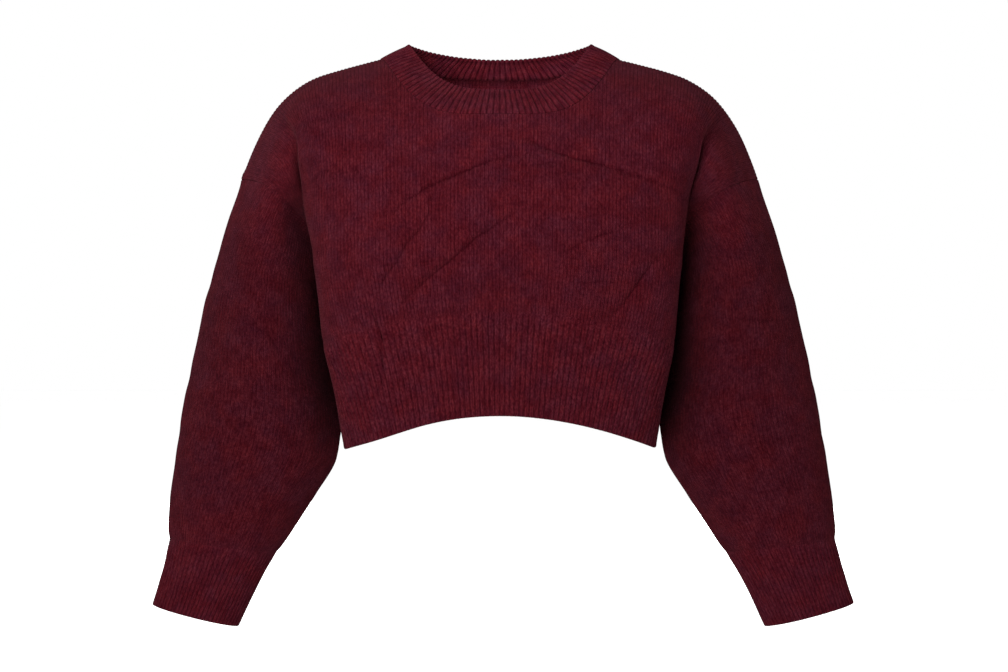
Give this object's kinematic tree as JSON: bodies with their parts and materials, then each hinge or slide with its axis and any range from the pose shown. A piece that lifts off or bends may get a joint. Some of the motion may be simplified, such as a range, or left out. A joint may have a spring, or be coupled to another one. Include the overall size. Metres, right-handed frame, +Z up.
{
  "type": "cropped knit sweater",
  "caption": "Hollow, filled-out cropped knit sweater with drop shoulders, full sleeves, and ribbed crew neckband, cuffs and hem.",
  "frame": {"origin": "the middle of the wearer's neck, level with the seam where the neckband meets the shoulders", "axes": "+Z up, the front faces -Y, and +X is towards the wearer's left sleeve"},
  "size_m": [0.6962, 0.2522, 0.5797],
  "materials": {
    "plain_knit": "burgundy heather wool, plain knit with a soft nap",
    "rib_knit": "burgundy heather wool, ribbed knit with a soft nap"
  },
  "bodies": {
    "root": {"front": "plain_knit", "back": "plain_knit", "sleeve_left": "plain_knit", "sleeve_right": "plain_knit", "neckband": "rib_knit", "hem_rib_front": "rib_knit", "hem_rib_back": "rib_knit", "cuff_left": "rib_knit", "cuff_right": "rib_knit"}
  },
  "joints": []
}
